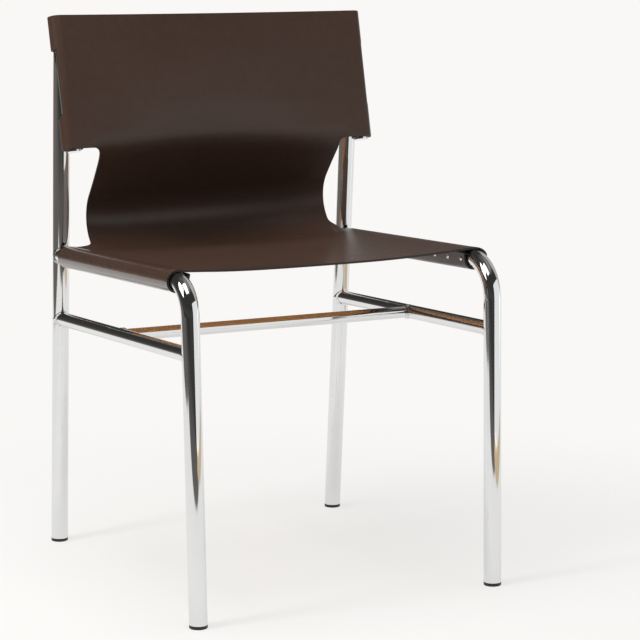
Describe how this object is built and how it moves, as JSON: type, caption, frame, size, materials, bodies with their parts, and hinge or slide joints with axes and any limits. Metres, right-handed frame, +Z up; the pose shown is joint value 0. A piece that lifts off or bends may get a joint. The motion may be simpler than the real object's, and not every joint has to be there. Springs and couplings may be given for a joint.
{
  "type": "sling dining chair",
  "caption": "Armless dining chair: a chromed round-tube frame carries one continuous saddle-leather sling that forms the seat and the reclined back.",
  "frame": {"origin": "on the floor, under the middle of the chair's bounding box", "axes": "+Z up, -Y is the front of the chair, +X is the viewer's right seen from the front"},
  "size_m": [0.501, 0.5323, 0.7944],
  "materials": {
    "chromed_tube": "polished chrome plate on steel tube",
    "rivet_metal": "bright nickel plate",
    "glide_plastic": "moulded black plastic, satin",
    "saddle_leather": "dark brown saddle leather with a fine grain, natural tan flesh side"
  },
  "bodies": {
    "root": {"front_leg_and_rail_left": "chromed_tube", "front_leg_and_rail_right": "chromed_tube", "rear_post_left": "chromed_tube", "rear_post_right": "chromed_tube", "back_bar_left": "chromed_tube", "back_bar_right": "chromed_tube", "side_stretcher_left": "chromed_tube", "side_stretcher_right": "chromed_tube", "cross_bar": "chromed_tube", "bar_cap_lower_left": "chromed_tube", "bar_cap_lower_right": "chromed_tube", "bar_cap_upper_left": "chromed_tube", "bar_cap_upper_right": "chromed_tube", "weld_rail_to_post_left": "chromed_tube", "weld_rail_to_post_right": "chromed_tube", "weld_stretcher_front_left": "chromed_tube", "weld_stretcher_front_right": "chromed_tube", "weld_stretcher_rear_left": "chromed_tube", "weld_stretcher_rear_right": "chromed_tube", "weld_cross_bar_left": "chromed_tube", "weld_cross_bar_right": "chromed_tube", "seat_rivets_left": "rivet_metal", "seat_rivets_right": "rivet_metal", "back_rivets_left": "rivet_metal", "back_rivets_right": "rivet_metal", "glide_front_left": "glide_plastic", "glide_front_right": "glide_plastic", "glide_rear_left": "glide_plastic", "glide_rear_right": "glide_plastic", "leather_sling": "saddle_leather"}
  },
  "joints": []
}
